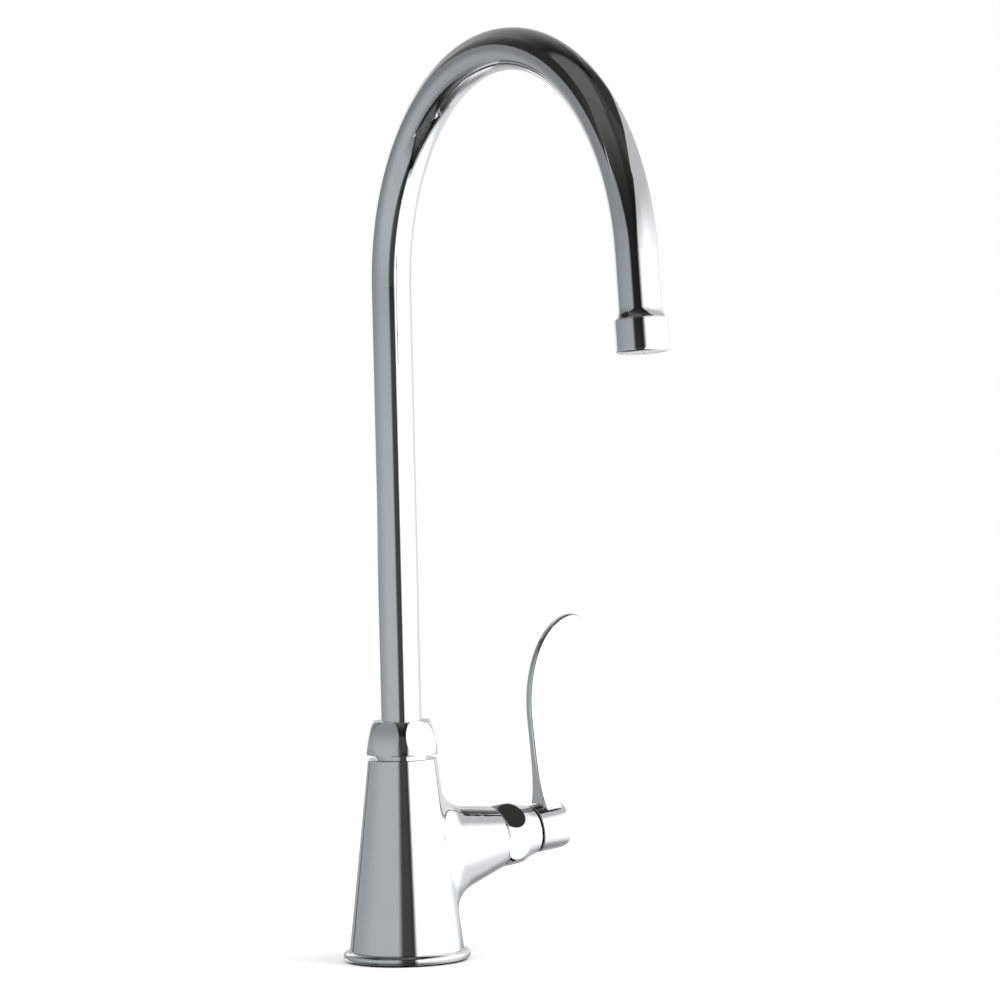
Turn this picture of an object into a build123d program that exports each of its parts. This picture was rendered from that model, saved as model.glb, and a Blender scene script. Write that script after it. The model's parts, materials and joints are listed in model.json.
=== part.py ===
from build123d import *

import os
from math import asin, cos, degrees, radians, sin

os.makedirs("parts", exist_ok=True)

# Gooseneck faucet with one side valve and a wrist-blade handle, in millimetres.
# The origin is on the deck, in the middle of the base. The spout reaches towards -Y, the handle is on +X.
# A step, wall or inset is measured from the piece that the size rests on, so that the fits stay together.

# Clearances and joint lines
running_gap = 0.08
thread_gap = 0.1
push_fit_gap = 0.05
body_gap = 0.3
end_float = 0.1
joint_line = 0.3

# Base ring and gasket
base_radius = 30.0
base_height = 4.4
base_edge_round = 2.15
gasket_thickness = 2.0
gasket_recess_inset = 3.5
gasket_margin = 0.7

# Gooseneck
tube_radius = 9.525
tube_wall = 1.05
bend_radius = 104.1
bend_angle = 175.0
bend_height = 317.6
leg_length = 22.0

# Body: cone, neck and supply
cone_foot_inset = 2.9
cone_top = 95.1
cone_top_step = 3.75
cone_foot_chamfer = 0.5
cone_top_round = 0.6
foot_spigot_inset = 2.2
neck_height = 11.4
neck_wall = 3.4
neck_chamfer = 0.8
supply_thread_radius = 9.55
supply_thread_depth = 22.0
supply_bore_radius = 7.5
supply_boss_wall = 4.95
underside_depth = 26.0
foot_wall = 3.5

# Spout socket in the neck, and the water way up to it
socket_inset = 0.425
socket_depth = 34.5
outlet_chamber_inset = 2.6
outlet_chamber_depth = 8.0
outlet_passage_radius = 3.5

# Valve arm
arm_height = 48.8
arm_tilt = 6.0
arm_length = 50.0
arm_end_step = 2.6
arm_end_chamfer = 0.5
arm_root_station = 4.0
arm_root_drop = 3.4
arm_root_half_height = 26.8
arm_root_half_width = 15.4
arm_root_round = 16.0
arm_neck_wall = 2.1
arm_neck_length = 7.0
seat_depth = 26.0
seat_passage_inset = 2.1
relief_lift = 4.0
relief_length = 12.0
relief_depth = 1.7

# Spout nut: its radius and its flats at the bottom, the middle and the top, beyond the neck's radius
spout_nut_lift = 2.0
spout_nut_lip = 2.5
spout_nut_steps = (4.7, 4.6, 1.3)
spout_nut_flat_steps = (4.3, 3.15, 0.9)
spout_nut_flat_turn = 30.0
spout_nut_top_round = 0.8
spout_nut_bottom_round = 0.6

# Spout foot
spigot_flange_inset = 1.1
spigot_flange_thickness = 2.5
spigot_stub_length = 12.2
spigot_wall = 1.2
spigot_groove_lifts = (17.5, 25.5)
spigot_groove_width = 2.6
spigot_seal_thickness = 1.8
lower_washer_thickness = 0.8
upper_washer_thickness = 0.6

# Outlet fitting and aerator
outlet_bore_inset = 1.7
outlet_stub_length = 10.0
flare_start = 2.6
flare_length = 4.6
flare_curve_radius = 8.25
outlet_thread_inset = 1.0
aerator_step = 2.175
aerator_length = 14.5
aerator_wall = 1.5
aerator_lip = 2.5
aerator_lip_thickness = 1.0
aerator_top_round = 0.25
aerator_bottom_round = 1.4
aerator_washer_thickness = 1.6
aerator_washer_width = 2.75
screen_thickness = 0.4
screen_hole_radius = 0.4
screen_hole_pitch = 1.1
insert_length = 3.0
insert_plate_start = 0.7
insert_plate_end = 1.8
insert_mouth_wall = 1.05
insert_jet_radius = 0.8
insert_jet_inset = 6.7
insert_jets = 12
straightener_inset = 0.2
straightener_rim_thickness = 0.8
straightener_above_rim = 0.8
straightener_below_rim = 0.7
straightener_hole_radius = 0.62
straightener_hole_pitch = 1.5

# Bonnet nut: its radius along the barrel and its flats along the nut, beyond the arm neck's radius
bonnet_length = 20.7
bonnet_barrel_length = 12.0
bonnet_steps = (2.7, 3.6, 2.0)
bonnet_flat_steps = (1.9, 1.8, 3.4)
bonnet_flat_turn = 43.5
bonnet_lip_inset = 0.7
bonnet_lip_round = 0.9
bonnet_foot_chamfer = 0.5
bonnet_recess_step = 1.7
bonnet_recess_depth = 5.1

# Valve cartridge and its ceramic discs
disc_radius = 8.1
disc_thickness = 3.2
port_circle_inset = 3.8
port_width = 3.4
port_arc = 50.0
drive_slot_width = 3.4
drive_slot_depth = 1.4
seat_seal_width = 1.8
seat_seal_thickness = 2.6
cartridge_wall = 1.8
cartridge_lift = 0.4
cartridge_end_inset = 0.5
cartridge_flange_inset = 0.5
cartridge_flange_thickness = 2.4
cartridge_neck_wall = 1.9
cartridge_groove_inset = 3.0
cartridge_groove_width = 2.4
cartridge_seal_thickness = 1.6
window_lift = 0.5
window_length = 4.0
window_width = 6.0

# Valve stem
stem_radius = 5.0
stem_shoulder_step = 1.5
stem_shoulder_thickness = 2.4
stem_bearing_inset = 3.5
stem_tail_inset = 0.4
stem_tail_length = 2.0
stem_end_gap = 0.4
stem_groove_lifts = (6.0, 12.0)
stem_groove_width = 2.2
stem_seal_thickness = 1.4
stem_washer_thickness = 0.5
driver_inset = 0.6
driver_width = 6.0
driver_thickness = 4.0
tongue_inset = 1.1
clip_groove_width = 1.0
clip_groove_depth = 0.6
clip_thickness = 0.8
clip_step = 1.7
clip_mouth = 5.0
spline_inset = 1.1
spline_depth = 0.4
spline_teeth = 20
screw_hole_runout = 0.5

# Handle: the blade's points are (distance from the hub's near face, height above the valve's axis)
hub_gap = 1.2
hub_radius = 11.4
hub_near_round = 0.5
hub_far_round = 2.0
hub_far_drop = 3.0
hub_socket_depth = 10.1
hub_web = 1.6
hub_counterbore_radius = 6.0
blade_inner_foot = 4.7
blade_inner_top = 5.2
blade_sweep_height = 51.6
blade_sweep_length = 30.4
blade_sweep_rise = 48.2
blade_sweep_turn = 84.0
blade_tip = (43.3, 90.0)
blade_back = ((42.6, 74.0), (20.1, 68.0))
blade_throat = (15.7, 51.0)
blade_waist = ((13.5, 38.0), (12.4, 24.0), (13.4, 14.5))
blade_outer_foot = (15.9, 6.0)
blade_edge_round = 1.3
blade_root_round = 1.2

# Blade's half thickness as (height, half thickness), and its slope where it leaves the hub
blade_flank = ((8.0, 7.6), (16.0, 4.75), (23.0, 3.35), (32.0, 2.62), (46.0, 2.35))
blade_root_slope = 0.45

# Handle screw and index cap
screw_head_radius = 3.6
screw_head_height = 2.4
screw_shank_radius = 2.0
screw_length = 14.0
screw_hex_width = 2.5
screw_hex_depth = 1.4
cap_lift = 0.4
cap_thickness = 2.2
cap_proud = 0.4
cap_edge_round = 0.6
cap_ring_inset = 1.35
cap_ring_width = 0.5
cap_ring_depth = 0.25


# Turning frames: local x runs along the axis, local y is the radius
upright = Plane(origin=(0, 0, 0), x_dir=(0, 0, 1), z_dir=(0, 1, 0))
arm_direction = (cos(radians(arm_tilt)), 0, sin(radians(arm_tilt)))
arm = Plane(origin=(0, 0, arm_height), x_dir=arm_direction, z_dir=(0, -1, 0))
spout_side = Plane(origin=(0, 0, 0), x_dir=(0, -1, 0), z_dir=(-1, 0, 0))
bend_end = spout_side.from_local_coords(
    Vector(
        bend_radius * (1 - cos(radians(bend_angle))),
        bend_height + bend_radius * sin(radians(bend_angle)),
    )
)
leg_direction = spout_side.from_local_coords(
    Vector(sin(radians(bend_angle)), cos(radians(bend_angle)))
)
leg = Plane(origin=bend_end, x_dir=leg_direction, z_dir=(1, 0, 0))


def rolled(frame, angle):
    """A frame turned about its own axis."""
    normal = frame.z_dir.rotate(Axis((0, 0, 0), frame.x_dir), angle)
    return Plane(origin=frame.origin, x_dir=frame.x_dir, z_dir=normal)


def across(frame, station):
    """The plane square to a frame's axis at a station, with local x along the frame's local y."""
    return Plane(origin=frame.from_local_coords((station, 0)), x_dir=frame.y_dir, z_dir=frame.x_dir)


def turned(frame, *outline, mode=Mode.ADD):
    """A turned shape: the points of its outline are (station, radius)."""
    with BuildSketch(frame) as half:
        with BuildLine():
            Polyline(*outline, close=True)
        make_face()
    revolve(half.sketch, axis=Axis(frame.origin, frame.x_dir), mode=mode)


def ring(frame, start, end, outer, inner=0.0, mode=Mode.ADD):
    """A ring between two stations, or a disc where it has no inner radius."""
    with BuildSketch(across(frame, start)) as section:
        Circle(outer)
        if inner > 0:
            Circle(inner, mode=Mode.SUBTRACT)
    extrude(section.sketch, amount=end - start, mode=mode)


def groove(frame, station, width, shaft_radius, depth):
    """Cuts a square groove into a shaft."""
    start = station - width / 2
    ring(frame, start, start + width, shaft_radius, shaft_radius - depth, mode=Mode.SUBTRACT)


def o_ring(frame, station, shaft_radius, thickness):
    """A seal of round section, in a groove as deep as the seal is thick."""
    with BuildSketch(frame) as section:
        with Locations((station, shaft_radius + push_fit_gap / 2 - thickness / 2)):
            Circle(thickness / 2)
    revolve(section.sketch, axis=Axis(frame.origin, frame.x_dir))


def six_flats(frame, stations, distances, turn):
    """Trims the part to six curved flats, given by their distance at three stations."""
    upper = list(zip(stations, distances))
    lower = [(station, -distance) for station, distance in upper]
    reach = 2 * max(distances)
    for pair in range(3):
        with BuildSketch(rolled(frame, turn + 60 * pair).offset(-reach)) as band:
            with BuildLine():
                ThreePointArc(*upper)
                Line(upper[2], lower[2])
                ThreePointArc(*lower)
                Line(lower[0], upper[0])
            make_face()
        extrude(band.sketch, amount=2 * reach, mode=Mode.INTERSECT)


def perforation(hole_radius, pitch, plate_radius):
    """Circles in rings about a centre one, all the same pitch apart, as many as the plate holds."""
    Circle(hole_radius)
    for number in range(1, int((plate_radius - hole_radius) / pitch) + 1):
        with PolarLocations(number * pitch, 6 * number):
            Circle(hole_radius)


def ports():
    """Two curved ports, one on each side of the disc's centre along local x."""
    for side in (0, 180):
        arc = CenterArc(
            (0, 0), disc_radius - port_circle_inset, side - port_arc / 2, port_arc, mode=Mode.PRIVATE
        )
        SlotArc(arc, port_width)


def rims(part, radius):
    """The full circles of one radius on a part."""
    circles = part.edges().filter_by(GeomType.CIRCLE)
    return circles.filter_by(lambda edge: abs(edge.radius - radius) < 0.001)


def rim_at(part, frame, radius, station):
    """The full circle of one radius that lies at a station."""
    centre = frame.from_local_coords((station, 0))
    return rims(part, radius).filter_by(lambda edge: (edge.arc_center - centre).length < 0.001)


# Radii that meet at the base
cone_foot_radius = base_radius - cone_foot_inset
foot_spigot_radius = cone_foot_radius - foot_spigot_inset
gasket_recess_radius = base_radius - gasket_recess_inset
supply_boss_radius = supply_thread_radius + supply_boss_wall
gasket_inner_radius = supply_boss_radius + gasket_margin

# Base
with BuildPart() as base_ring:
    ring(upright, 0, base_height, base_radius, foot_spigot_radius + thread_gap)
    ring(upright, 0, gasket_thickness, gasket_recess_radius, mode=Mode.SUBTRACT)
    fillet(rims(base_ring, base_radius), base_edge_round)

with BuildPart() as base_gasket:
    ring(
        upright, 0, gasket_thickness, gasket_recess_radius - 2 * thread_gap, gasket_inner_radius
    )

# Radii and heights of the spout's bearing
socket_radius = tube_radius - socket_inset
neck_radius = socket_radius + neck_wall
neck_top = cone_top + neck_height
socket_floor = neck_top - socket_depth
chamber_floor = socket_floor - outlet_chamber_depth
cone_top_radius = neck_radius + cone_top_step

# Radii and stations of the valve's bore, from the seat out to the bonnet's end
arm_bore_radius = disc_radius + body_gap + cartridge_wall + thread_gap
arm_neck_radius = arm_bore_radius + arm_neck_wall
arm_end_radius = arm_neck_radius + arm_end_step
arm_neck_end = arm_length + arm_neck_length
seat_station = arm_length - seat_depth
relief_start = seat_station + relief_lift
relief_end = relief_start + relief_length
relief_radius = arm_bore_radius + relief_depth

# Body
passage_start = Vector(0, 0, (socket_floor + chamber_floor) / 2)
passage_end = arm.from_local_coords(((relief_start + relief_end) / 2, relief_radius - outlet_passage_radius))
passage = Plane(origin=passage_start, z_dir=passage_end - passage_start)
arm_root = Plane(origin=(arm_root_station, 0, arm_height - arm_root_drop), x_dir=(0, 0, 1), z_dir=(1, 0, 0))

with BuildPart() as body:
    turned(
        upright,
        (gasket_thickness, 0),
        (gasket_thickness, foot_spigot_radius),
        (base_height, foot_spigot_radius),
        (base_height, cone_foot_radius),
        (cone_top, cone_top_radius),
        (cone_top, neck_radius),
        (neck_top, neck_radius),
        (neck_top, 0),
    )
    chamfer(rims(body, cone_foot_radius), cone_foot_chamfer)
    fillet(rims(body, cone_top_radius), cone_top_round)
    with BuildSketch(arm_root):
        Ellipse(arm_root_half_height, arm_root_half_width)
    with BuildSketch(across(arm, arm_length)):
        Circle(arm_end_radius)
    loft()
    fillet(body.edges(Select.NEW), arm_root_round)
    chamfer(rims(body, arm_end_radius), arm_end_chamfer)
    ring(arm, arm_length, arm_neck_end, arm_neck_radius)
    chamfer(rim_at(body, arm, arm_neck_radius, arm_neck_end), neck_chamfer)
    chamfer(rim_at(body, upright, neck_radius, neck_top), neck_chamfer)
    ring(upright, 0, underside_depth, foot_spigot_radius - foot_wall, supply_boss_radius, mode=Mode.SUBTRACT)
    ring(upright, 0, gasket_thickness, supply_boss_radius)
    ring(upright, 0, supply_thread_depth, supply_thread_radius, mode=Mode.SUBTRACT)
    ring(upright, 0, arm_height, supply_bore_radius, mode=Mode.SUBTRACT)
    ring(upright, chamber_floor, neck_top, socket_radius - outlet_chamber_inset, mode=Mode.SUBTRACT)
    ring(upright, socket_floor, neck_top, socket_radius, mode=Mode.SUBTRACT)
    ring(arm, 0, seat_station, disc_radius - seat_passage_inset, mode=Mode.SUBTRACT)
    ring(arm, seat_station, arm_neck_end, arm_bore_radius, mode=Mode.SUBTRACT)
    ring(arm, relief_start, relief_end, relief_radius, mode=Mode.SUBTRACT)
    with BuildSketch(passage):
        Circle(outlet_passage_radius)
    extrude(amount=(passage_end - passage_start).length, mode=Mode.SUBTRACT)

# Heights in the spout's bearing: lower washer, flange, upper washer and the nut's lip
spout_nut_bottom = cone_top + spout_nut_lift
lower_washer_bottom = neck_top + end_float
flange_bottom = lower_washer_bottom + lower_washer_thickness
flange_top = flange_bottom + spigot_flange_thickness
upper_washer_top = flange_top + upper_washer_thickness
nut_lip_bottom = upper_washer_top + end_float
spout_nut_top = nut_lip_bottom + spout_nut_lip

# Spout nut
spout_nut_stations = (spout_nut_bottom, (spout_nut_bottom + spout_nut_top) / 2, spout_nut_top)
spout_nut_radii = [neck_radius + step for step in spout_nut_steps]
spout_nut_flats = [neck_radius + step for step in spout_nut_flat_steps]

with BuildPart() as spout_nut:
    with BuildSketch(upright):
        with BuildLine():
            side = ThreePointArc(*zip(spout_nut_stations, spout_nut_radii))
            Polyline(side @ 1, (spout_nut_top, 0), (spout_nut_bottom, 0), side @ 0)
        make_face()
    revolve(axis=Axis.Z)
    fillet(rims(spout_nut, spout_nut_radii[2]), spout_nut_top_round)
    fillet(rims(spout_nut, spout_nut_radii[0]), spout_nut_bottom_round)
    six_flats(upright, spout_nut_stations, spout_nut_flats, spout_nut_flat_turn)
    ring(upright, spout_nut_bottom, nut_lip_bottom, neck_radius + thread_gap, mode=Mode.SUBTRACT)
    ring(upright, spout_nut_bottom, spout_nut_top, tube_radius + body_gap, mode=Mode.SUBTRACT)

# Spout foot and its washers
spigot_bottom = socket_floor + body_gap
spigot_radius = socket_radius - running_gap
spigot_bore_radius = spigot_radius - spigot_seal_thickness - spigot_wall
spigot_flange_radius = neck_radius - spigot_flange_inset
spigot_stub_top = flange_top + spigot_stub_length
tube_bore_radius = tube_radius - tube_wall
stub_radius = tube_bore_radius - push_fit_gap
spigot_grooves = [socket_floor + lift for lift in spigot_groove_lifts]

with BuildPart() as spout_spigot:
    turned(
        upright,
        (spigot_bottom, spigot_bore_radius),
        (spigot_bottom, spigot_radius),
        (flange_bottom, spigot_radius),
        (flange_bottom, spigot_flange_radius),
        (flange_top, spigot_flange_radius),
        (flange_top, stub_radius),
        (spigot_stub_top, stub_radius),
        (spigot_stub_top, spigot_bore_radius),
    )
    for height in spigot_grooves:
        groove(upright, height, spigot_groove_width, spigot_radius, spigot_seal_thickness)

with BuildPart() as spout_o_rings:
    for height in spigot_grooves:
        o_ring(upright, height, spigot_radius, spigot_seal_thickness)

with BuildPart() as spout_lower_washer:
    ring(upright, lower_washer_bottom, flange_bottom, spigot_flange_radius, socket_radius)

with BuildPart() as spout_upper_washer:
    ring(upright, flange_top, upper_washer_top, spigot_flange_radius, tube_radius + thread_gap)

# Spout tube
with BuildPart() as spout_tube:
    with BuildLine(spout_side) as centreline:
        column = Line((0, flange_top), (0, bend_height))
        bend = JernArc(column @ 1, column % 1, bend_radius, -bend_angle)
        Line(bend @ 1, bend @ 1 + (bend % 1) * leg_length)
    with BuildSketch(Plane.XY.offset(flange_top)):
        Circle(tube_radius)
        Circle(tube_bore_radius, mode=Mode.SUBTRACT)
    sweep(path=centreline.line)

# Stations along the outlet, from the flare to the aerator's mouth
flare_foot = leg_length + flare_start
flare_end = flare_foot + flare_length
housing_start = flare_end + joint_line
housing_end = housing_start + aerator_length
housing_lip = housing_end - aerator_lip_thickness
rim_start = housing_lip - straightener_rim_thickness
insert_start = rim_start - insert_length
screen_start = insert_start - screen_thickness
outlet_end = screen_start - aerator_washer_thickness

# Radii of the outlet
aerator_radius = tube_radius + aerator_step
aerator_lip_radius = aerator_radius - aerator_lip
outlet_thread_radius = aerator_radius - outlet_thread_inset
outlet_bore_radius = tube_bore_radius - outlet_bore_inset
insert_radius = aerator_radius - aerator_wall - push_fit_gap
insert_mouth_radius = insert_radius - insert_mouth_wall
washer_bore_radius = insert_radius - aerator_washer_width

# Outlet fitting
flare_turn = degrees(asin(flare_length / flare_curve_radius))
stub_start = leg_length - outlet_stub_length

with BuildPart() as spout_outlet:
    with BuildSketch(leg):
        with BuildLine():
            flare = JernArc((flare_foot, tube_radius), (1, 0), flare_curve_radius, flare_turn)
            Polyline(
                flare @ 1,
                (flare_end, outlet_thread_radius),
                (outlet_end, outlet_thread_radius),
                (outlet_end, outlet_bore_radius),
                (stub_start, outlet_bore_radius),
                (stub_start, stub_radius),
                (leg_length, stub_radius),
                (leg_length, tube_radius),
                flare @ 0,
            )
        make_face()
    revolve(axis=Axis(leg.origin, leg.x_dir))

# Aerator
with BuildPart() as aerator_housing:
    ring(leg, housing_start, housing_end, aerator_radius)
    fillet(rim_at(aerator_housing, leg, aerator_radius, housing_start), aerator_top_round)
    fillet(rim_at(aerator_housing, leg, aerator_radius, housing_end), aerator_bottom_round)
    ring(leg, housing_start, screen_start, outlet_thread_radius + thread_gap, mode=Mode.SUBTRACT)
    ring(leg, screen_start, housing_lip, aerator_radius - aerator_wall, mode=Mode.SUBTRACT)
    ring(leg, housing_lip, housing_end, aerator_lip_radius, mode=Mode.SUBTRACT)

with BuildPart() as aerator_washer:
    ring(leg, outlet_end, screen_start, insert_radius, washer_bore_radius)

with BuildPart() as aerator_screen:
    ring(leg, screen_start, insert_start, insert_radius)
    with BuildSketch(across(leg, screen_start)):
        perforation(screen_hole_radius, screen_hole_pitch, washer_bore_radius)
    extrude(amount=screen_thickness, mode=Mode.SUBTRACT)

with BuildPart() as aerator_insert:
    ring(leg, insert_start, rim_start, insert_radius)
    ring(leg, insert_start, insert_start + insert_plate_start, washer_bore_radius, mode=Mode.SUBTRACT)
    ring(leg, insert_start + insert_plate_end, rim_start, insert_mouth_radius, mode=Mode.SUBTRACT)
    with BuildSketch(across(leg, insert_start)):
        with PolarLocations(aerator_radius - insert_jet_inset, insert_jets):
            Circle(insert_jet_radius)
    extrude(amount=insert_length, mode=Mode.SUBTRACT)

straightener_radius = aerator_lip_radius - straightener_inset
straightener_start = rim_start - straightener_above_rim
straightener_end = housing_lip + straightener_below_rim

with BuildPart() as flow_straightener:
    ring(leg, straightener_start, straightener_end, straightener_radius)
    ring(leg, rim_start, housing_lip, insert_radius)
    with BuildSketch(across(leg, straightener_start)):
        perforation(
            straightener_hole_radius, straightener_hole_pitch, straightener_radius - straightener_hole_radius
        )
    extrude(amount=straightener_end - straightener_start, mode=Mode.SUBTRACT)

# Radii and stations of the stem and its bearing
bonnet_end = arm_length + bonnet_length
flange_seat = arm_neck_end + cartridge_flange_thickness
cartridge_end = bonnet_end - bonnet_recess_depth - cartridge_end_inset
cartridge_neck_radius = stem_radius + cartridge_neck_wall
cartridge_radius = arm_bore_radius - thread_gap
disc_seat = seat_station + seat_seal_thickness
disc_face = disc_seat + disc_thickness
disc_back = disc_face + disc_thickness
shoulder_start = disc_back + driver_thickness
shoulder_end = shoulder_start + stem_shoulder_thickness
stem_washer_end = shoulder_end + stem_washer_thickness
bearing_start = stem_washer_end + end_float
bearing_radius = stem_radius + running_gap
stem_shoulder_radius = stem_radius + stem_shoulder_step

# Bonnet nut
barrel_end = arm_length + bonnet_barrel_length
barrel_stations = (arm_length, (arm_length + barrel_end) / 2, barrel_end)
bonnet_stations = (arm_length, (arm_length + bonnet_end) / 2, bonnet_end)
bonnet_radii = [arm_neck_radius + step for step in bonnet_steps]
bonnet_flats = [arm_neck_radius + step for step in bonnet_flat_steps]
bonnet_lip_radius = arm_neck_radius - bonnet_lip_inset
bonnet_recess_radius = cartridge_neck_radius + bonnet_recess_step

with BuildPart() as bonnet_nut:
    with BuildSketch(arm):
        with BuildLine():
            barrel = ThreePointArc(*zip(barrel_stations, bonnet_radii))
            dome = TangentArc(barrel @ 1, (bonnet_end, bonnet_lip_radius), tangent=barrel % 1)
            Polyline(dome @ 1, (bonnet_end, 0), (arm_length, 0), barrel @ 0)
        make_face()
    revolve(axis=Axis(arm.origin, arm.x_dir))
    fillet(rims(bonnet_nut, bonnet_lip_radius), bonnet_lip_round)
    chamfer(rims(bonnet_nut, bonnet_radii[0]), bonnet_foot_chamfer)
    six_flats(arm, bonnet_stations, bonnet_flats, bonnet_flat_turn)
    ring(arm, arm_length, flange_seat, arm_neck_radius + thread_gap, mode=Mode.SUBTRACT)
    ring(arm, flange_seat, bonnet_end, cartridge_neck_radius + body_gap, mode=Mode.SUBTRACT)
    ring(arm, bonnet_end - bonnet_recess_depth, bonnet_end, bonnet_recess_radius, mode=Mode.SUBTRACT)

# Cartridge: housing, seals and ceramic discs
cartridge_start = seat_station + cartridge_lift
cartridge_cavity_radius = disc_radius + body_gap
cartridge_flange_radius = arm_neck_radius - cartridge_flange_inset
cartridge_groove_station = arm_length - cartridge_groove_inset

with BuildPart() as cartridge_housing:
    turned(
        arm,
        (cartridge_start, cartridge_cavity_radius),
        (cartridge_start, cartridge_radius),
        (arm_neck_end, cartridge_radius),
        (arm_neck_end, cartridge_flange_radius),
        (flange_seat, cartridge_flange_radius),
        (flange_seat, cartridge_neck_radius),
        (cartridge_end, cartridge_neck_radius),
        (cartridge_end, bearing_radius),
        (bearing_start, bearing_radius),
        (bearing_start, cartridge_cavity_radius),
    )
    groove(arm, cartridge_groove_station, cartridge_groove_width, cartridge_radius, cartridge_seal_thickness)
    for turn in (0, 90):
        with BuildSketch(rolled(arm, turn).offset(-relief_radius)):
            with Locations((disc_back + window_lift + window_length / 2, 0)):
                Rectangle(window_length, window_width)
        extrude(amount=2 * relief_radius, mode=Mode.SUBTRACT)

with BuildPart() as cartridge_o_ring:
    o_ring(arm, cartridge_groove_station, cartridge_radius, cartridge_seal_thickness)

with BuildPart() as seat_seal:
    ring(arm, seat_station, disc_seat, disc_radius, disc_radius - seat_seal_width)

with BuildPart() as fixed_disc:
    ring(arm, disc_seat, disc_face, disc_radius)
    with BuildSketch(across(arm, disc_seat)):
        ports()
    extrude(amount=disc_thickness, mode=Mode.SUBTRACT)

with BuildPart() as moving_disc:
    ring(arm, disc_face, disc_back, disc_radius)
    with BuildSketch(across(rolled(arm, 90), disc_face)):
        ports()
    extrude(amount=disc_thickness, mode=Mode.SUBTRACT)
    with BuildSketch(across(arm, disc_back - drive_slot_depth)):
        Rectangle(2 * disc_radius, drive_slot_width)
    extrude(amount=drive_slot_depth, mode=Mode.SUBTRACT)

# Valve stem
hub_start = bonnet_end + hub_gap
socket_end = hub_start + hub_socket_depth
stem_end = socket_end - stem_end_gap
stem_bearing_end = cartridge_end - stem_bearing_inset
stem_tail_radius = stem_radius - stem_tail_inset
spline_start = cartridge_end + stem_tail_length
spline_radius = stem_radius - spline_inset
clip_groove_start = cartridge_end + body_gap
clip_groove_floor = stem_tail_radius - clip_groove_depth
clip_start = clip_groove_start + (clip_groove_width - clip_thickness) / 2
tongue_height = drive_slot_depth - end_float
stem_grooves = [bearing_start + lift for lift in stem_groove_lifts]
spline_points = [
    Vector(radius, 0).rotate(Axis.Z, 360 * (tooth + share) / spline_teeth)
    for tooth in range(spline_teeth)
    for share, radius in ((0, spline_radius), (0.5, spline_radius - spline_depth))
]

with BuildPart() as valve_stem:
    turned(
        arm,
        (shoulder_start, 0),
        (shoulder_start, stem_shoulder_radius),
        (shoulder_end, stem_shoulder_radius),
        (shoulder_end, stem_radius),
        (stem_bearing_end, stem_radius),
        (stem_bearing_end, stem_tail_radius),
        (spline_start, stem_tail_radius),
        (spline_start, 0),
    )
    with BuildSketch(across(arm, disc_back)):
        Rectangle(2 * (disc_radius - driver_inset), driver_width)
    extrude(amount=driver_thickness)
    with BuildSketch(across(arm, disc_back - tongue_height)):
        Rectangle(2 * (disc_radius - tongue_inset), drive_slot_width - 2 * thread_gap)
    extrude(amount=tongue_height)
    with BuildSketch(across(arm, spline_start)):
        with BuildLine():
            Polyline(*spline_points, close=True)
        make_face()
    extrude(amount=stem_end - spline_start)
    for station in stem_grooves:
        groove(arm, station, stem_groove_width, stem_radius, stem_seal_thickness)
    groove(
        arm,
        clip_groove_start + clip_groove_width / 2,
        clip_groove_width,
        stem_tail_radius,
        clip_groove_depth,
    )
    ring(
        arm,
        spline_start - screw_hole_runout,
        stem_end,
        screw_shank_radius + push_fit_gap,
        mode=Mode.SUBTRACT,
    )

with BuildPart() as stem_o_rings:
    for station in stem_grooves:
        o_ring(arm, station, stem_radius, stem_seal_thickness)

with BuildPart() as stem_washer:
    ring(arm, shoulder_end, stem_washer_end, stem_shoulder_radius, bearing_radius)

clip_radius = stem_tail_radius + clip_step

with BuildPart() as retaining_clip:
    ring(arm, clip_start, clip_start + clip_thickness, clip_radius, clip_groove_floor + push_fit_gap)
    with BuildSketch(across(arm, clip_start)):
        with Locations((clip_radius, 0)):
            Rectangle(2 * clip_radius, clip_mouth)
    extrude(amount=clip_thickness, mode=Mode.SUBTRACT)

# Handle: blade, hub and the seat of its screw
web_end = socket_end + hub_web
screw_head_end = web_end + screw_head_height
cap_start = screw_head_end + cap_lift
cap_end = cap_start + cap_thickness
hub_end = cap_end - cap_proud
hub_length = hub_end - hub_start
hub = Plane(origin=arm.from_local_coords((hub_start, 0)), x_dir=arm.x_dir, z_dir=arm.z_dir)
sweep_centre = (blade_inner_top + blade_sweep_length, blade_sweep_height)
blade_clearance_height = blade_tip[1] + blade_sweep_length
flank_foot, flank_foot_half = blade_flank[0]
flank_top, flank_top_half = blade_flank[-1]

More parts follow.
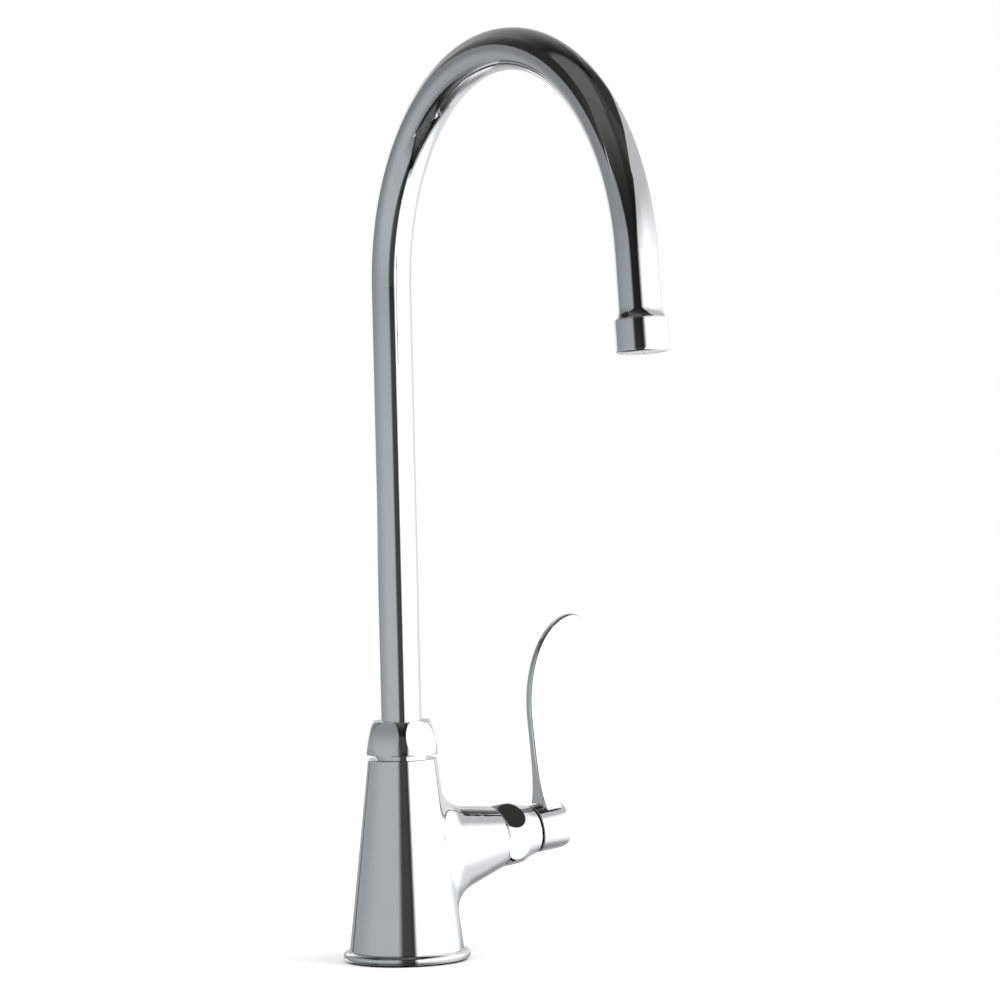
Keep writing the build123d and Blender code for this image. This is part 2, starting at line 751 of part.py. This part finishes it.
with BuildPart() as handle:
    with BuildSketch(hub.offset(-hub_radius)):
        with BuildLine():
            inner_edge = Line((blade_inner_foot, 0), (blade_inner_top, blade_sweep_height))
            swept_edge = EllipticalCenterArc(
                sweep_centre, blade_sweep_length, blade_sweep_rise, 180, arc_size=-blade_sweep_turn
            )
            tip = TangentArc(swept_edge @ 1, blade_tip, tangent=swept_edge % 1)
            back = Bezier(tip @ 1, *blade_back, blade_throat)
            waist = Spline(back @ 1, *blade_waist, blade_outer_foot, tangents=(back % 1, (1, -1)))
            Polyline(waist @ 1, (blade_outer_foot[0], 0), inner_edge @ 0)
        make_face()
    extrude(amount=2 * hub_radius)
    with BuildSketch(across(hub, 0)):
        with BuildLine():
            for side in (1, -1):
                flank = Spline(
                    *[(height, side * half) for height, half in blade_flank],
                    tangents=((1, -side * blade_root_slope), (1, 0)),
                )
                Polyline(flank @ 0, (0, side * flank_foot_half), (0, 0))
                Polyline(
                    flank @ 1, (blade_clearance_height, side * flank_top_half), (blade_clearance_height, 0)
                )
        make_face()
    extrude(amount=blade_clearance_height, mode=Mode.INTERSECT)
    lengthwise = handle.edges().filter_by(Axis.Y, reverse=True)
    above_foot = lengthwise.filter_by(lambda edge: hub.to_local_coords(edge.center()).Y > flank_foot)
    fillet(above_foot, blade_edge_round)
    with BuildSketch(rolled(hub, 180)) as hub_half:
        with BuildLine():
            wall = Bezier(
                (hub_near_round, hub_radius),
                (hub_length - hub_far_round, hub_radius),
                (hub_length, hub_radius),
                (hub_length, hub_radius),
                (hub_length, hub_radius - hub_far_drop),
            )
            Polyline(wall @ 1, (hub_length, 0), (0, 0), (0, hub_radius - hub_near_round))
            RadiusArc((0, hub_radius - hub_near_round), wall @ 0, hub_near_round)
        make_face()
    revolve(axis=Axis(arm.origin, arm.x_dir))
    fillet(handle.edges(Select.NEW), blade_root_round)
    ring(arm, hub_start, socket_end, spline_radius + push_fit_gap, mode=Mode.SUBTRACT)
    ring(arm, socket_end, web_end, screw_shank_radius + body_gap, mode=Mode.SUBTRACT)
    ring(arm, web_end, hub_end, hub_counterbore_radius, mode=Mode.SUBTRACT)

# Handle screw and index cap
with BuildPart() as handle_screw:
    ring(arm, web_end, screw_head_end, screw_head_radius)
    ring(arm, web_end - screw_length, web_end, screw_shank_radius)
    with BuildSketch(across(arm, screw_head_end - screw_hex_depth)):
        RegularPolygon(screw_hex_width / 2, 6, major_radius=False)
    extrude(amount=screw_hex_depth, mode=Mode.SUBTRACT)

cap_radius = hub_counterbore_radius - push_fit_gap
cap_ring_radius = cap_radius - cap_ring_inset

with BuildPart() as index_cap:
    ring(arm, cap_start, cap_end, cap_radius)
    fillet(rim_at(index_cap, arm, cap_radius, cap_end), cap_edge_round)
    groove_floor = cap_ring_radius - cap_ring_width
    ring(arm, cap_end - cap_ring_depth, cap_end, cap_ring_radius, groove_floor, mode=Mode.SUBTRACT)

# Write one file for each piece
pieces = {
    "body": body,
    "base_ring": base_ring,
    "base_gasket": base_gasket,
    "spout_nut": spout_nut,
    "spout_tube": spout_tube,
    "spout_spigot": spout_spigot,
    "spout_o_rings": spout_o_rings,
    "spout_upper_washer": spout_upper_washer,
    "spout_lower_washer": spout_lower_washer,
    "spout_outlet": spout_outlet,
    "aerator_housing": aerator_housing,
    "aerator_washer": aerator_washer,
    "aerator_screen": aerator_screen,
    "aerator_insert": aerator_insert,
    "flow_straightener": flow_straightener,
    "bonnet_nut": bonnet_nut,
    "cartridge_housing": cartridge_housing,
    "cartridge_o_ring": cartridge_o_ring,
    "seat_seal": seat_seal,
    "fixed_disc": fixed_disc,
    "moving_disc": moving_disc,
    "valve_stem": valve_stem,
    "stem_o_rings": stem_o_rings,
    "stem_washer": stem_washer,
    "retaining_clip": retaining_clip,
    "handle": handle,
    "handle_screw": handle_screw,
    "index_cap": index_cap,
}
for name, piece in pieces.items():
    piece.part.label = name
    export_step(piece.part, f"parts/{name}.step")
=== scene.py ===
import json
import math

import bpy
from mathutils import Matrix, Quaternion, Vector

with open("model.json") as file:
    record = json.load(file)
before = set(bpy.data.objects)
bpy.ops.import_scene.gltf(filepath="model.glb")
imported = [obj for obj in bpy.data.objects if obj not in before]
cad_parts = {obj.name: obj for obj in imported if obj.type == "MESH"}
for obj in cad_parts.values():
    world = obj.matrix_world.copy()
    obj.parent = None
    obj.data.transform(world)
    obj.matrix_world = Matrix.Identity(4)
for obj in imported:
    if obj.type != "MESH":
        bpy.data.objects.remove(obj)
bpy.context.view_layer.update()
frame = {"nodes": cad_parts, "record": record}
nodes = frame["nodes"]


# Camera

eye = Vector((-1.07178, -1.80522, 0.27068))
sight = Vector((0.53039, 0.84735, -0.02618))
lean = math.radians(-1.357)

camera = bpy.data.objects.new("camera", bpy.data.cameras.new("camera"))
bpy.context.scene.collection.objects.link(camera)
bpy.context.scene.camera = camera
camera.data.lens = 160.17
camera.data.sensor_width = 36
camera.data.shift_x = -0.0007
camera.data.shift_y = 0.0008
camera.data.clip_start = 0.1
camera.data.clip_end = 50
camera.location = eye
camera.rotation_mode = "QUATERNION"
camera.rotation_quaternion = sight.to_track_quat("-Z", "Y") @ Quaternion((0, 0, 1), lean)


# Shader maths

class Wire:
    """A socket's value, which takes part in sums and products as a number does."""

    def __init__(self, tree, socket):
        self.tree = tree
        self.socket = socket

    def maths(self, operation, *terms):
        made = self.tree.nodes.new("ShaderNodeMath")
        made.operation = operation
        for entry, term in zip(made.inputs, terms):
            join(self.tree, entry, term)
        return Wire(self.tree, made.outputs[0])

    def __add__(self, other):
        return self.maths("ADD", self, other)

    def __sub__(self, other):
        return self.maths("SUBTRACT", self, other)

    def __mul__(self, other):
        return self.maths("MULTIPLY", self, other)

    def __pow__(self, other):
        return self.maths("POWER", self, other)

    def __radd__(self, other):
        return self.maths("ADD", other, self)

    def __rsub__(self, other):
        return self.maths("SUBTRACT", other, self)

    def __rmul__(self, other):
        return self.maths("MULTIPLY", other, self)


def join(tree, entry, term):
    """Links a wire to a socket, or sets the socket to a number, a vector or a colour."""
    if isinstance(term, Wire):
        tree.links.new(term.socket, entry)
    elif isinstance(term, tuple) and entry.type == "RGBA":
        entry.default_value = (*term[:3], 1)
    else:
        entry.default_value = term


class Finish:
    """A material in the making."""

    def __init__(self, name):
        self.material = bpy.data.materials.new(name)
        self.material.use_nodes = True
        self.tree = self.material.node_tree
        self.tree.nodes.clear()
        place = self.tree.nodes.new("ShaderNodeTexCoord").outputs["Object"]
        self.place = Wire(self.tree, place)

    def node(self, kind, settings, inputs, output=0):
        """Adds a node, sets it up, fills its sockets and gives one of its outputs."""
        made = self.tree.nodes.new("ShaderNode" + kind)
        for key, value in settings.items():
            setattr(made, key, value)
        for key, value in inputs.items():
            join(self.tree, made.inputs[key], value)
        return Wire(self.tree, made.outputs[output])

    def axes(self):
        """The place's three coordinates in metres."""
        parts = self.tree.nodes.new("ShaderNodeSeparateXYZ")
        self.tree.links.new(self.place.socket, parts.inputs[0])
        return [Wire(self.tree, output) for output in parts.outputs]

    def rise(self, value, start, end, low=0.0, high=1.0):
        """A smooth step from low to high as the value goes from start to end."""
        return self.node(
            "MapRange",
            {"interpolation_type": "SMOOTHSTEP"},
            {"Value": value, "From Min": start, "From Max": end, "To Min": low, "To Max": high},
        )

    def noise(self, scale, detail, stretch=None):
        """Soft noise between 0 and 1, its scale in patches per metre."""
        place = self.place
        if stretch:
            place = self.node("Mapping", {}, {"Vector": place, "Scale": stretch})
        return self.node("TexNoise", {}, {"Vector": place, "Scale": scale, "Detail": detail})

    def blend(self, share, first, second):
        """A colour between two, by share."""
        return self.node(
            "Mix", {"data_type": "RGBA"}, {"Factor": share, 6: first, 7: second}, output=2
        )

    def bump(self, height, strength, distance):
        """A fine relief for the surface's normal."""
        return self.node("Bump", {}, {"Height": height, "Strength": strength, "Distance": distance})

    def surface(self, **inputs):
        """Ends the material in a Principled shader, its sockets named with underscores for spaces."""
        shader = self.node(
            "BsdfPrincipled", {}, {key.replace("_", " "): value for key, value in inputs.items()}
        )
        return self.end(shader)

    def end(self, shader):
        """Ends the material in a shader, and gives the material."""
        output = self.tree.nodes.new("ShaderNodeOutputMaterial")
        self.tree.links.new(shader.socket, output.inputs["Surface"])
        return self.material


# Studio: a pale floor, a tent of cloth walls that only polished metal shows, and soft lamps

# Metres to the right of the base's middle, towards the camera and up
tent_left, tent_right = -0.8, 0.4
tent_back, tent_front = -0.8, 0.45
tent_height = 1.3
tent_floor = -0.0002
tent_middle = Vector(((tent_left + tent_right) / 2, (tent_back + tent_front) / 2))
towards_camera = -sight.xy.normalized()
towards_right = Vector((-towards_camera.y, towards_camera.x))

# Brightness of the cloths, with 1 as plain white
white_light = 1.5
soft_light = 0.6
dark_light = 0.02
dark_share_right = 0.45
dark_tint = (0.93, 1.0, 0.93)
grey_tint = (0.92, 0.99, 1.03)
white_tint = (0.98, 0.99, 1.0)

floor_level = -0.0004
floor_radius = 1.4
floor_fade_start, floor_fade_end = 0.25, 1.3
lamps_aim = Vector((0, 0, 0.1))


def in_tent(cloth):
    """A place's distance to the right of the object's middle and towards the camera, and its height."""
    x, y, z = cloth.axes()
    right = x * towards_right.x + y * towards_right.y
    near = x * towards_camera.x + y * towards_camera.y
    return right, near, z


def glow(cloth, level, tint):
    """A cloth's light: a level between 0 and 1.5 over the wall, in one tint or a blend of two."""
    colour = cloth.node("VectorMath", {"operation": "SCALE"}, {0: tint, "Scale": level})
    return cloth.end(cloth.node("Emission", {}, {"Color": colour, "Strength": 1.0}))


def front_wall():
    """A grey card on the left and a white one on the right lean apart before the dark room."""
    cloth = Finish("front_cloth")
    right, _, z = in_tent(cloth)

    grey = cloth.rise(z, 0.18, 0.52, 0.52, 0.32)
    grey_top = 0.66 - 0.51 * (right - tent_left) ** 2
    grey_card = cloth.rise(right, -0.14, -0.035, 1, 0) * cloth.rise(z - grey_top, -0.02, 0.02, 1, 0)

    white = cloth.rise(z - 0.4 * (right - 0.3), 0.32, 0.53, white_light, soft_light)
    white_card = cloth.rise(right, 0.12, 0.21) * cloth.rise(z - 1.2 * right, 0.2, 0.24, 1, 0)

    low_glow = cloth.rise(z, 0.28, 0.35, 0.045, 0)
    high_glow = cloth.rise(z, 0.42, 0.95, 0, 0.1)
    room = dark_light + low_glow + high_glow
    room = room * cloth.rise(right, 0.05, 0.17, 1, dark_share_right)

    lamp_right, lamp_height = -0.72, 0.69
    from_lamp = ((right - lamp_right) ** 2 + (z - lamp_height) ** 2) ** 0.5
    lamp = cloth.rise(from_lamp, 0.02, 0.1, 0.9, 0)

    level = room + lamp + grey_card * (grey - room) + white_card * (white - room)
    tint = cloth.blend(grey_card, dark_tint, grey_tint)
    return glow(cloth, level, cloth.blend(white_card, tint, white_tint))


def left_wall():
    """A grey card that dims upwards, with the dark room above it."""
    cloth = Finish("left_cloth")
    _, near, z = in_tent(cloth)
    grey = cloth.rise(near, -0.4, 0.45, 0.4, 0.52) * cloth.rise(z, 0.15, 0.5, 1, 0.64)
    room = cloth.rise(near, -0.85, -0.2, 0.2, 0.03) + cloth.rise(near, 0.1, 0.45, 0, 0.02)
    card = cloth.rise(z, 0.62, 0.7, 1, 0)
    return glow(cloth, room + card * (grey - room), cloth.blend(card, dark_tint, grey_tint))


def right_wall():
    """A white card, brightest low down and towards the camera, with the dark room above it."""
    cloth = Finish("right_cloth")
    _, near, z = in_tent(cloth)
    white = cloth.rise(near, -0.55, -0.1, 0.86, white_light)
    fade = cloth.rise(z - cloth.rise(near, 0, 0.45, 0, 0.08), 0.28, 0.5)
    room = cloth.rise(near, -0.8, -0.3, 0.22, 0.04) + cloth.rise(near, 0.1, 0.3, 0, 0.03)
    card = cloth.rise(z - cloth.rise(near, 0, 0.45, 0, 0.06), 0.68, 0.7, 1, 0)
    level = room + card * (white + fade * (soft_light - white) - room)
    return glow(cloth, level, cloth.blend(card, dark_tint, white_tint))


def back_wall():
    """A white sheet with a grey foot and left edge, and a duller cloth right of it. Both dim upwards."""
    cloth = Finish("back_cloth")
    right, _, z = in_tent(cloth)
    sheet = cloth.rise(right, -0.76, -0.5, 0.33, 1.12) * cloth.rise(z, 0.13, 0.2, 0.4, 1)
    duller = cloth.rise(right, -0.22, -0.14)
    gain = cloth.rise(right, -0.05, 0.35, 0, 0.28)
    level = sheet + duller * (soft_light - sheet) + gain
    above = cloth.rise(z, 0.75, 1.25, 0.38, 0.22)
    fade = cloth.rise(z - cloth.rise(right, -0.1, 0.15, 0, 0.12), 0.5, 0.78)
    return glow(cloth, level + fade * (above - level), white_tint)


def roof():
    """The dark room above, with a black seam behind the object."""
    cloth = Finish("roof_cloth")
    right, near, _ = in_tent(cloth)
    front = cloth.rise(near, -0.13, 0, 0, 0.12)
    back = cloth.rise(near, -0.8, -0.12, 0.18, 0)
    level = dark_light + front + back
    return glow(cloth, level * cloth.rise(right, 0.08, 0.25, 1, dark_share_right), dark_tint)


def table():
    """A glossy table top that mirrors the cloths, with painted shade: it is dimmer in a band from the
    body to the handle.
    """
    cloth = Finish("glossy_table")
    right, _, _ = in_tent(cloth)
    # Painted shade: the table's colour is dimmed from the body to the handle, under the arm.
    painted_shade_band = cloth.rise(right, -0.05, 0.03) * cloth.rise(right, 0.08, 0.17, 1, 0)
    colour = cloth.blend(painted_shade_band, (0.95, 0.96, 0.97), (0.55, 0.56, 0.57))
    return cloth.end(cloth.node("BsdfGlossy", {}, {"Color": colour, "Roughness": 0.03}))


def stand_tent():
    """A box about the object, with a cloth or the table top on each side, that only reflections show."""
    middle = towards_right * tent_middle.x + towards_camera * tent_middle.y
    bpy.ops.object.select_all(action="DESELECT")
    bpy.ops.mesh.primitive_cube_add(
        size=1,
        location=(middle.x, middle.y, tent_height / 2 + tent_floor),
        rotation=(0, 0, math.atan2(towards_right.y, towards_right.x)),
        scale=(tent_right - tent_left, tent_front - tent_back, tent_height),
    )
    tent = bpy.context.object
    tent.name = "tent"
    bpy.ops.object.transform_apply(location=True, rotation=True, scale=True)
    sides = (
        (towards_camera.to_3d(), front_wall()),
        (-towards_camera.to_3d(), back_wall()),
        (towards_right.to_3d(), right_wall()),
        (-towards_right.to_3d(), left_wall()),
        (Vector((0, 0, 1)), roof()),
        (Vector((0, 0, -1)), table()),
    )
    nearly_one = 0.9
    for number, (facing, cloth) in enumerate(sides):
        tent.data.materials.append(cloth)
        for side in tent.data.polygons:
            if side.normal.dot(facing) > nearly_one:
                side.material_index = number
    tent.visible_camera = False
    tent.visible_diffuse = False
    tent.visible_transmission = False
    tent.visible_volume_scatter = False
    tent.visible_shadow = False


def lay_floor():
    """A pale round floor that fades out into the white background."""
    bpy.ops.object.select_all(action="DESELECT")
    bpy.ops.mesh.primitive_circle_add(
        vertices=96, radius=floor_radius, fill_type="NGON", location=(0, 0, floor_level)
    )
    floor = bpy.context.object
    floor.name = "floor"
    bpy.ops.object.transform_apply(location=True, rotation=True, scale=True)
    paint = Finish("floor_paint")
    x, y, _ = paint.axes()
    from_middle = (x * x + y * y) ** 0.5
    grain = paint.noise(scale=40, detail=3)
    colour = paint.blend(grain, (0.9, 0.9, 0.9), (0.93, 0.93, 0.93))
    matte = paint.node("BsdfDiffuse", {}, {"Color": colour})
    clear = paint.node("BsdfTransparent", {}, {})
    fade = paint.rise(from_middle, floor_fade_start, floor_fade_end)
    floor.data.materials.append(paint.end(paint.node("MixShader", {}, {0: fade, 1: matte, 2: clear})))
    floor.visible_glossy = False


def hang_lamp(name, place, size, power):
    """A square soft lamp that points at the top of the body and stays out of reflections."""
    lamp = bpy.data.objects.new(name, bpy.data.lights.new(name, "AREA"))
    bpy.context.scene.collection.objects.link(lamp)
    lamp.data.size = size
    lamp.data.energy = power
    lamp.location = place
    lamp.rotation_mode = "QUATERNION"
    lamp.rotation_quaternion = (lamps_aim - Vector(place)).to_track_quat("-Z", "Y")
    lamp.visible_glossy = False
    lamp.visible_camera = False


def light_world():
    """An even white room all round."""
    world = bpy.data.worlds.new("white_room")
    bpy.context.scene.world = world
    world.use_nodes = True
    background = world.node_tree.nodes["Background"]
    background.inputs["Color"].default_value = (1, 1, 1, 1)
    background.inputs["Strength"].default_value = 1.0


stand_tent()
lay_floor()
hang_lamp("key_lamp", place=(0.9, -1.0, 1.6), size=1.2, power=18)
hang_lamp("fill_lamp", place=(-1.2, 0.4, 1.5), size=1.2, power=7)
light_world()
bpy.context.scene.view_settings.view_transform = "Standard"


# Finishes

def polished_chrome(name):
    """Mirror plate: faint waves from polishing, a slight haze in patches, and hair-fine wiping lines."""
    plate = Finish(name)
    haze = plate.noise(scale=55, detail=4)
    lines = plate.noise(scale=900, detail=2, stretch=(1.0, 1.0, 0.06))
    waves = plate.noise(scale=60, detail=1)
    mirror, hazier, wiped = 0.018, 0.022, 0.02
    rough = mirror + plate.rise(haze, 0.45, 0.8) * hazier + plate.rise(lines, 0.62, 0.8) * wiped
    return plate.surface(
        Base_Color=plate.blend(haze, (0.795, 0.80, 0.81), (0.815, 0.82, 0.825)),
        Metallic=1.0,
        Roughness=rough,
        Normal=plate.bump(waves + lines * 0.02, strength=0.05, distance=0.0006),
    )


def moulded(name, colour, darker, roughness, relief):
    """Moulded or cast goods: a soft mottle, and a fine grain in the surface."""
    stuff = Finish(name)
    mottle = stuff.noise(scale=220, detail=4)
    grain = stuff.noise(scale=2600, detail=2)
    return stuff.surface(
        Base_Color=stuff.blend(mottle, darker, colour),
        Roughness=roughness + stuff.rise(grain, 0.3, 0.7) * 0.12,
        Normal=stuff.bump(grain, strength=relief, distance=0.0002),
    )


def turned_metal(name, colour, darker, roughness):
    """Turned or drawn metal with fine tool marks and a dull patch here and there."""
    stuff = Finish(name)
    marks = stuff.noise(scale=1800, detail=3, stretch=(1.0, 0.15, 0.15))
    patches = stuff.noise(scale=120, detail=4)
    return stuff.surface(
        Base_Color=stuff.blend(patches, darker, colour),
        Metallic=1.0,
        Roughness=roughness + patches * 0.15 + marks * 0.08,
        Normal=stuff.bump(marks, strength=0.12, distance=0.0002),
    )


finishes = {
    "chrome": polished_chrome("polished_chrome"),
    "rubber": moulded("black_rubber", (0.035, 0.035, 0.038), (0.022, 0.022, 0.024), 0.55, 0.4),
    "plastic": moulded("white_acetal", (0.80, 0.80, 0.77), (0.74, 0.74, 0.71), 0.38, 0.2),
    "ceramic": moulded("lapped_ceramic", (0.88, 0.87, 0.84), (0.83, 0.82, 0.79), 0.18, 0.08),
    "brass": turned_metal("turned_brass", (0.83, 0.66, 0.33), (0.70, 0.53, 0.25), 0.22),
    "steel": turned_metal("stainless_steel", (0.66, 0.66, 0.67), (0.56, 0.56, 0.57), 0.2),
}
for part in frame["record"]["subparts"]:
    nodes[part["node"]].material_slots[0].material = finishes[part["material_slot"]]
